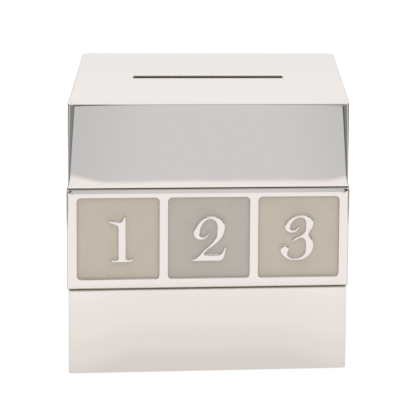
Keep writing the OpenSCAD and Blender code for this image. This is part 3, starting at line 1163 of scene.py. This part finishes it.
# %% [markdown]
# ## Stopper
# The bung is moulded in one piece: a thin flange, a neck with a bead that snaps past the base
# plate, and a bar across the hollow to pull it by. A moulding has rounded edges everywhere, so
# its outline is turned as a lathe would turn it, with an arc at each corner. The bar is drawn on
# its own and joined to the bung.

# %% Build the stopper
NECK_R = 15.6
NECK_WALL = 1.3
NECK_TOP = stopper_high.z
CROWN = 1.3
CEILING = NECK_TOP - CROWN
CROWN_R = 0.9
BEAD_R = 15.95
BEAD_MID = 3.35
BEAD_HALF = 0.7
BEAD_NOSE_R = 0.35
BEAD_NOSE_TURN = 55
FLANGE_TOP = 1.6
FLANGE_TOP_R = 0.35
SMALL_R = 0.3
MOUTH_R = 0.5
MOUTH_FLARE = 0.2
DRAFT = 0.1
DRAFT_START = 1.4
CEILING_R = 0.6
TURN_STEPS = 144
BAR_STATIONS = 24
BAR_HALF = 1.3
BAR_WAIST = 0.35
BAR_DROP = 0.6
BAR_EDGE_R = 0.5


def arc(x, y, radius, start, end, steps=6):
    """Points on an arc in the lathe's section, with angles in degrees."""
    angles = [math.radians(start + (end - start) * step / steps) for step in range(steps + 1)]
    return [(x + radius * math.cos(a), y + radius * math.sin(a)) for a in angles]


def stopper_section():
    """The section from the middle of the crown, down outside and up inside to the ceiling."""
    low = stopper_low.z
    inner = NECK_R - NECK_WALL
    return [
        *arc(NECK_R - CROWN_R, NECK_TOP - CROWN_R, CROWN_R, 90, 0),
        (NECK_R, BEAD_MID + BEAD_HALF),
        *arc(BEAD_R - BEAD_NOSE_R, BEAD_MID, BEAD_NOSE_R, BEAD_NOSE_TURN, -BEAD_NOSE_TURN),
        (NECK_R, BEAD_MID - BEAD_HALF),
        *arc(NECK_R + SMALL_R, FLANGE_TOP + SMALL_R, SMALL_R, 180, 270),
        *arc(FLANGE_R - FLANGE_TOP_R, FLANGE_TOP - FLANGE_TOP_R, FLANGE_TOP_R, 90, 0),
        *arc(FLANGE_R - SMALL_R, low + SMALL_R, SMALL_R, 0, -90),
        *arc(inner + MOUTH_R + MOUTH_FLARE, low + MOUTH_R, MOUTH_R, 270, 180),
        (inner + DRAFT, low + DRAFT_START),
        *arc(inner - CEILING_R, CEILING - CEILING_R, CEILING_R, 0, 90),
    ]


def add_turned(bm, section):
    """Turns a section round the Z axis and closes it on the axis at both ends."""
    turns = [2 * math.pi * step / TURN_STEPS for step in range(TURN_STEPS)]
    rings = [[(r * math.cos(a), r * math.sin(a), height) for a in turns] for r, height in section]
    loops = loft(bm, rings)
    for end in (0, -1):
        middle = bm.verts.new((0, 0, section[end][1]))
        for here in range(TURN_STEPS):
            bm.faces.new((loops[end][here - 1], loops[end][here], middle))


def add_grip_bar(bm):
    """The bar across the recess: narrower in the middle, with round edges underneath."""
    high = NECK_TOP - CROWN / 2
    round_z = stopper_low.z + BAR_DROP + BAR_EDGE_R
    reach = NECK_R - NECK_WALL / 2
    rings = []
    for step in range(BAR_STATIONS + 1):
        x = -reach + 2 * reach * step / BAR_STATIONS
        half = BAR_HALF - BAR_WAIST * (1 - (x / reach) ** 2)
        foot = half + DRAFT
        section = [(half, high)] + arc(foot - BAR_EDGE_R, round_z, BAR_EDGE_R, 0, -90)
        section += arc(BAR_EDGE_R - foot, round_z, BAR_EDGE_R, 270, 180) + [(-half, high)]
        rings.append([(x, y, z) for y, z in section])
    loops = loft(bm, rings)
    bm.faces.new(loops[0])
    bm.faces.new(loops[-1])


def make_stopper():
    bung_mesh = bmesh.new()
    add_turned(bung_mesh, stopper_section())
    bung = finish_mesh(bung_mesh, "stopper_bung")
    bar_mesh = bmesh.new()
    add_grip_bar(bar_mesh)
    bar = finish_mesh(bar_mesh, "grip_bar_tool")
    bung.modifiers.clear()
    bar.modifiers.clear()
    joined = bung.modifiers.new("bar", "BOOLEAN")
    joined.operation = "UNION"
    joined.solver = "EXACT"
    joined.object = bar
    bpy.context.view_layer.update()
    shape = bpy.data.meshes.new_from_object(bung.evaluated_get(bpy.context.evaluated_depsgraph_get()))
    bung.modifiers.clear()
    bung.data = shape
    shade_piece(bung)
    bpy.data.objects.remove(bar)
    print("stopper faces:", len(shape.polygons))
    return bung


stopper_bung = make_stopper()
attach(stopper_bung, "stopper")
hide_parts("stopper")

# %% [markdown]
# ## Marks that several finishes share
# A finish is made real by what happened to it: how it was polished or moulded, and how it was
# handled. Painted maps could show that. Here each effect is a node group, a small graph with
# named sockets that can be placed in many materials. All of them measure in millimetres on the
# piece itself, so a mark keeps its real size and stays on the piece when it moves.

# %% Build the shared groups
VECTOR = "NodeSocketVector"
NUMBER = "NodeSocketFloat"
PATCHES = (0.48, 0.72)
LINES = (0.35, 0.75)


def new_group(name, label, kind, value, output):
    """A node group with the inputs Place and one of its own, and one number as its output."""
    tree = bpy.data.node_groups.new(name, "ShaderNodeTree")
    tree.interface.new_socket(name="Place", in_out="INPUT", socket_type=VECTOR)
    own = tree.interface.new_socket(name=label, in_out="INPUT", socket_type=kind)
    own.default_value = value
    tree.interface.new_socket(name=output, in_out="OUTPUT", socket_type=NUMBER)
    given = tree.nodes.new("NodeGroupInput").outputs
    return tree, given["Place"], given[label], tree.nodes.new("NodeGroupOutput").inputs[output]


def noise_node(tree, place, detail, **settings):
    """Smooth noise whose patches are about as wide as one unit of the place."""
    kind = "ShaderNodeTexNoise"
    return add_node(tree, kind, Vector=place, Scale=1.0, Detail=detail, **settings)


def shrunk(tree, place, size):
    """A place divided by a size."""
    return vector_node(tree, "SCALE", place, Scale=math_node(tree, "DIVIDE", 1.0, size))


def make_handling_marks():
    """Cloudy patches where a piece was touched or wiped."""
    tree, place, size, result = new_group("handling_marks", "Size", NUMBER, 12.0, "Mask")
    cloud = noise_node(tree, shrunk(tree, place, size), 3.0, Distortion=0.6)
    feed(tree, ramp_between(tree, cloud, *PATCHES), result)
    return tree


def make_hairlines():
    """Fine lines that a polishing mop or a roller leaves along one direction."""
    along = (0.12, 6.0, 6.0)
    tree, place, stretch, result = new_group("hairlines", "Stretch", VECTOR, along, "Mask")
    lines = noise_node(tree, vector_node(tree, "MULTIPLY", place, stretch), 2.0, Roughness=0.7)
    feed(tree, ramp_between(tree, lines, *LINES), result)
    return tree


def make_fine_grain():
    """A fine even grain, as a mould's or a sprayed face's, as a height from 0 to 1."""
    tree, place, size, result = new_group("fine_grain", "Size", NUMBER, 0.3, "Height")
    feed(tree, noise_node(tree, shrunk(tree, place, size), 2.0, Roughness=0.6), result)
    return tree


HANDLING_MARKS = make_handling_marks()
HAIRLINES = make_hairlines()
FINE_GRAIN = make_fine_grain()
print("groups:", [group.name for group in bpy.data.node_groups])

# %% [markdown]
# ## Helpers for the finishes
# Every finish starts from the same things: a new material with its Principled shader, the place
# on the piece in millimetres, groups that are placed with values of their own, and bumps.

# %% Helpers for materials


def new_material(name):
    """A material, its tree and shader, and the place on the piece in millimetres."""
    material = bpy.data.materials.new(name)
    material.use_nodes = True
    tree = material.node_tree
    place = add_node(tree, "ShaderNodeTexCoord").outputs["Object"]
    place = vector_node(tree, "MULTIPLY", place, (1 / MM,) * 3)
    return material, tree, tree.nodes["Principled BSDF"], place


def mark(tree, group, **values):
    """Places a group in a material with its own values."""
    return add_node(tree, "ShaderNodeGroup", node_tree=group, **values)


def kept_values(tree, attribute):
    """The values that the mesh's points keep."""
    return add_node(tree, "ShaderNodeAttribute", attribute_name=attribute).outputs["Fac"]


def patches(tree, place, size, detail):
    """Noise from 0 to 1 whose patches are about as wide as size, in millimetres."""
    return noise_node(tree, vector_node(tree, "MULTIPLY", place, (1 / size,) * 3), detail)


def bumps(tree, *layers):
    """A normal with bumps: pairs of a height and how many metres a height of 1 is."""
    below = {}
    for height, distance in layers:
        bump = add_node(tree, "ShaderNodeBump", Strength=1.0, Distance=distance, Height=height)
        below = {"Normal": set_node(tree, bump, **below)}
    return bump


def finish_pieces(material, *pieces):
    """Gives pieces one finish."""
    for piece in pieces:
        piece.data.materials.clear()
        piece.data.materials.append(material)
    print(material.name, "on", [piece.name for piece in pieces])


print("material helpers ready")

# %% [markdown]
# ## Polished silver plate
# The metal is bright plate, mopped to a mirror. A mirror isn't perfect: the sheet under it is a
# few thousandths of a millimetre out of flat, and the mop leaves hairlines that only blur a
# reflection's edge. The grooves between the tiers and the plates' mitres are darker and rougher:
# partly polish and dirt that no cloth reaches, partly painted shade in the gaps. The slot's wall
# was cut after plating and shows the bare metal, painted darker downwards as the shade that
# deepens into the slot.

# %% Make the silver plate
SILVER = METAL + (1,)
# Partly dirt and partly painted shade, for the grooves and mitres.
GROOVE_DIRT_AND_SHADE = (0.60, 0.55, 0.48, 1)
CUT_METAL = (0.80, 0.70, 0.60, 1)
# Painted shade deep in the slot, and the heights over which the cut wall darkens into it.
SLOT_PAINTED_SHADE = (0.17, 0.145, 0.12, 1)
SLOT_SHADE_HEIGHTS = (upper_high.z - 0.85, upper_high.z - 0.35)
SILVER_ROUGHNESS = (0.015, 0.05)
GROOVE_ROUGHNESS = 0.65
CUT_ROUGHNESS = 0.5
GROOVE_MOTTLE = (0.1, 0.5, 0.75, 1.0)
WAVE_HEIGHT = 4e-6
HAIRLINE_HEIGHT = 1.2e-7
LOWER_SEAM = (plate_low.z - 0.22, 0.36, 0.56)
UPPER_SEAM = (plate_high.z, 0.17, 0.30)
MITRE_REACH = (39.80, 40.02)
MITRE_HEIGHTS = (42, 50)


def seam_mask(tree, x, y, height):
    """1 in the open grooves between the tiers and at the plates' mitres, 0 beside them."""
    seams = []
    for middle, full, clear in (LOWER_SEAM, UPPER_SEAM):
        away = math_node(tree, "ABSOLUTE", math_node(tree, "SUBTRACT", height, middle))
        seams.append(ramp_between(tree, away, full, clear, 1.0, 0.0))
    sides = [math_node(tree, "ABSOLUTE", side) for side in (x, y)]
    mitres = ramp_between(tree, math_node(tree, "MINIMUM", *sides), *MITRE_REACH)
    mitres = math_node(tree, "MULTIPLY", mitres, ramp_between(tree, height, *MITRE_HEIGHTS))
    return largest(tree, *seams, mitres)


def make_silver():
    material, tree, shader, place = new_material("silver_plate")
    x, y, height = add_node(tree, "ShaderNodeSeparateXYZ", place).outputs
    marks = mark(tree, HANDLING_MARKS, Place=place, Size=16.0)
    lines = mark(tree, HAIRLINES, Place=place)
    mottled = ramp_between(tree, patches(tree, place, 2.5, 2.0), *GROOVE_MOTTLE)
    # Painted shade with some dirt: the grooves and mitres turn darker and rougher, in mottled patches.
    groove_dirt_and_shade = math_node(tree, "MULTIPLY", seam_mask(tree, x, y, height), mottled)
    cut = kept_values(tree, "cut_edge")
    # Painted shade: the slot's cut wall runs from bare metal at its lip to dark deeper down.
    slot_shade = ramp_between(tree, height, *SLOT_SHADE_HEIGHTS, 1.0, 0.0)
    shaded_cut_wall = mix(tree, slot_shade, CUT_METAL, SLOT_PAINTED_SHADE)
    colour = mix(tree, cut, mix(tree, groove_dirt_and_shade, SILVER, GROOVE_DIRT_AND_SHADE), shaded_cut_wall)
    blur = math_node(tree, "MULTIPLY", marks, lines)
    roughness = mix(tree, blur, *SILVER_ROUGHNESS, "FLOAT")
    roughness = mix(tree, groove_dirt_and_shade, roughness, GROOVE_ROUGHNESS, "FLOAT")
    roughness = mix(tree, cut, roughness, CUT_ROUGHNESS, "FLOAT")
    waves = patches(tree, place, 15.0, 1.0)
    normal = bumps(tree, (waves, WAVE_HEIGHT), (lines, HAIRLINE_HEIGHT))
    set_node(tree, shader, Base_Color=colour, Roughness=roughness, Metallic=1.0, Normal=normal)
    return material


finish_pieces(make_silver(), upper_cap, lower_sleeve, *number_plates)

# %% [markdown]
# ## Enamel finish
# Baked enamel is glossy, with the faint dimples that painters call orange peel. It is painted
# darker near the window's walls and round the digits, as shade, and lighter in the open middle;
# random clouds drift towards the same darker tone. A few dust specks are baked in. The middle fill
# of each side was mixed on its own, and came out a little greyer.

# %% Make the enamel
ENAMEL_OPEN = (0.478, 0.428, 0.365, 1)
ENAMEL_OPEN_MIDDLE = (0.426, 0.393, 0.357, 1)
# The painted shade near the metal, also the tone that the random clouds drift to.
ENAMEL_SHADE_AND_CLOUD = (0.36, 0.312, 0.255, 1)
ENAMEL_SPECK = (0.30, 0.26, 0.21, 1)
ENAMEL_CLOUDS = (0.3, 0.7, 0.0, 0.10)
SPECKS = (0.76, 0.80)
ENAMEL_ROUGHNESS = (0.10, 0.22)
PEEL_HEIGHT = 1.5e-6


def make_enamel_finish(name, open_colour):
    material, tree, shader, place = new_material(name)
    # Painted shade: darker near the window's walls and round the digits.
    colour = mix(tree, kept_values(tree, "painted_shade"), open_colour, ENAMEL_SHADE_AND_CLOUD)
    clouds = ramp_between(tree, patches(tree, place, 6.0, 3.0), *ENAMEL_CLOUDS)
    colour = mix(tree, clouds, colour, ENAMEL_SHADE_AND_CLOUD)
    specks = ramp_between(tree, patches(tree, place, 0.35, 0.0), *SPECKS)
    colour = mix(tree, specks, colour, ENAMEL_SPECK)
    marks = mark(tree, HANDLING_MARKS, Place=place, Size=9.0)
    roughness = mix(tree, marks, *ENAMEL_ROUGHNESS, "FLOAT")
    peel = bumps(tree, (mark(tree, FINE_GRAIN, Place=place, Size=1.1), PEEL_HEIGHT))
    set_node(tree, shader, Base_Color=colour, Roughness=roughness, Normal=peel)
    return material


middle_fills = [piece for piece in enamel_fills if piece.name.endswith("_2")]
outer_fills = [piece for piece in enamel_fills if piece not in middle_fills]
finish_pieces(make_enamel_finish("taupe_enamel", ENAMEL_OPEN), *outer_fills)
finish_pieces(make_enamel_finish("taupe_enamel_middle", ENAMEL_OPEN_MIDDLE), *middle_fills)

# %% [markdown]
# ## Wool felt
# Pressed felt is a mat of short curled fibres, far too many to be modelled as hairs. Seen close
# it is a tangle with lighter and darker strands, which three crossed layers of stretched noise
# give, and its loose ends catch the light at a low angle, which the shader's sheen gives.

# %% Make the felt
FELT_DARK = (0.018, 0.019, 0.022, 1)
FELT_LIGHT = (0.070, 0.072, 0.080, 1)
FIBRE_TURNS = (0.3, 1.35, 2.4)
FIBRE_WIDTH = 0.28
FIBRE_STRETCH = 0.5
FIBRE_CURL = 3.5
CURL_SCALE = 0.35
STRANDS = (0.32, 0.68)
FIBRE_DEPTH = (0.0, 1.0, 0.55, 1.0)
FIBRE_SHARE = 0.7
WORN_SHARE = 0.25
FIBRE_HEIGHT = 9e-5


def fibre_layer(tree, place, turn):
    """Curled strands that lie mostly along one direction, as a height from 0 to 1."""
    swirl = add_node(tree, "ShaderNodeTexNoise", Vector=place, Scale=CURL_SCALE, Detail=2.0)
    bent = vector_node(tree, "MULTIPLY_ADD", swirl.outputs["Color"], (FIBRE_CURL,) * 3, place)
    laid = add_node(tree, "ShaderNodeMapping", Vector=bent, Rotation=(0, 0, turn))
    set_node(tree, laid, Scale=(FIBRE_STRETCH, 1 / FIBRE_WIDTH, 1 / FIBRE_WIDTH))
    return ramp_between(tree, noise_node(tree, laid, 3.0, Roughness=0.65), *STRANDS)


def make_felt_finish():
    material, tree, shader, place = new_material("wool_felt")
    layers = [fibre_layer(tree, place, turn) for turn in FIBRE_TURNS]
    depth = ramp_between(tree, layers[0], *FIBRE_DEPTH)
    fibres = math_node(tree, "MULTIPLY", largest(tree, *layers), depth)
    worn = mark(tree, HANDLING_MARKS, Place=place, Size=14.0)
    worn = math_node(tree, "MULTIPLY", worn, WORN_SHARE)
    light = math_node(tree, "MULTIPLY_ADD", fibres, FIBRE_SHARE, worn)
    colour = mix(tree, light, FELT_DARK, FELT_LIGHT)
    set_node(tree, shader, Base_Color=colour, Normal=bumps(tree, (fibres, FIBRE_HEIGHT)))
    set_node(tree, shader, Roughness=0.95, Sheen_Weight=0.35, Sheen_Roughness=0.5)
    return material


finish_pieces(make_felt_finish(), felt_pad)

# %% [markdown]
# ## Moulded plastic
# The bung comes out of a steel mould that was spark-eroded, so its faces are satin with a fine
# even grain. Where fingers have rubbed it, it is a little smoother and paler.

# %% Make the plastic
PLASTIC = (0.215, 0.215, 0.22, 1)
PLASTIC_RUBBED = (0.29, 0.29, 0.295, 1)
RUBBED_SHARE = 0.35
PLASTIC_ROUGHNESS = (0.46, 0.34)
GRAIN_HEIGHT = 1.4e-5


def make_plastic():
    material, tree, shader, place = new_material("satin_plastic")
    marks = mark(tree, HANDLING_MARKS, Place=place, Size=5.0)
    rubbed = math_node(tree, "MULTIPLY", marks, RUBBED_SHARE)
    colour = mix(tree, rubbed, PLASTIC, PLASTIC_RUBBED)
    roughness = mix(tree, marks, *PLASTIC_ROUGHNESS, "FLOAT")
    grain = bumps(tree, (mark(tree, FINE_GRAIN, Place=place, Size=0.22), GRAIN_HEIGHT))
    set_node(tree, shader, Base_Color=colour, Roughness=roughness, Normal=grain)
    return material


finish_pieces(make_plastic(), stopper_bung)

# %% [markdown]
# ## Tinned steel
# The liner and the base plate are thin sheet steel with a coat of tin. Tin is softer and greyer
# than the plate outside: it shows the roller's lines and has dull, cloudy patches. These two
# keep the shape that the frame gives them, because only flat parts of them can be seen.

# %% Make the tinned steel
TIN = (0.62, 0.61, 0.59, 1)
TIN_DULL = (0.46, 0.45, 0.43, 1)
DULL_SHARE = 0.7
TIN_ROUGHNESS = (0.24, 0.40)
ROLLER_STRETCH = (0.2, 4.0, 4.0)
ROLLER_HEIGHT = 2.5e-6


def make_tin():
    material, tree, shader, place = new_material("tinned_steel")
    marks = mark(tree, HANDLING_MARKS, Place=place, Size=10.0)
    lines = mark(tree, HAIRLINES, Place=place, Stretch=ROLLER_STRETCH)
    colour = mix(tree, math_node(tree, "MULTIPLY", marks, DULL_SHARE), TIN, TIN_DULL)
    roughness = mix(tree, lines, *TIN_ROUGHNESS, "FLOAT")
    normal = bumps(tree, (lines, ROLLER_HEIGHT))
    set_node(tree, shader, Base_Color=colour, Roughness=roughness, Metallic=1.0, Normal=normal)
    return material


finish_pieces(make_tin(), *[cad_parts[node] for node in ("core_liner", "base_plate")])
